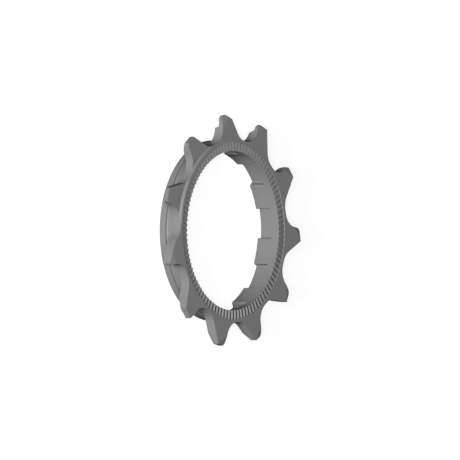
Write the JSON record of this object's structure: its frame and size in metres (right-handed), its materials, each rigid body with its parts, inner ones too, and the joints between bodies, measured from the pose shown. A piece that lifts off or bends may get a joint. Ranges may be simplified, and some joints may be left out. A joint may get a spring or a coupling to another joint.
{
  "type": "cassette cog",
  "caption": "One-piece steel chain cog with a spacer flange behind the teeth, a blind-grooved splined bore and a serrated front ring.",
  "frame": {"origin": "on the bore axis, in the plane of the spacer flange's rear face, which is the mouth of the splined bore", "axes": "+Z along the bore axis, out of the serrated front face; +X and +Y in the plane of the rear face, +X 14.85 degrees counter-clockwise of a spline's centre"},
  "size_m": [0.0462, 0.0468, 0.0055],
  "materials": {
    "steel": "satin"
  },
  "bodies": {
    "root": {"cog": "steel"}
  },
  "joints": []
}
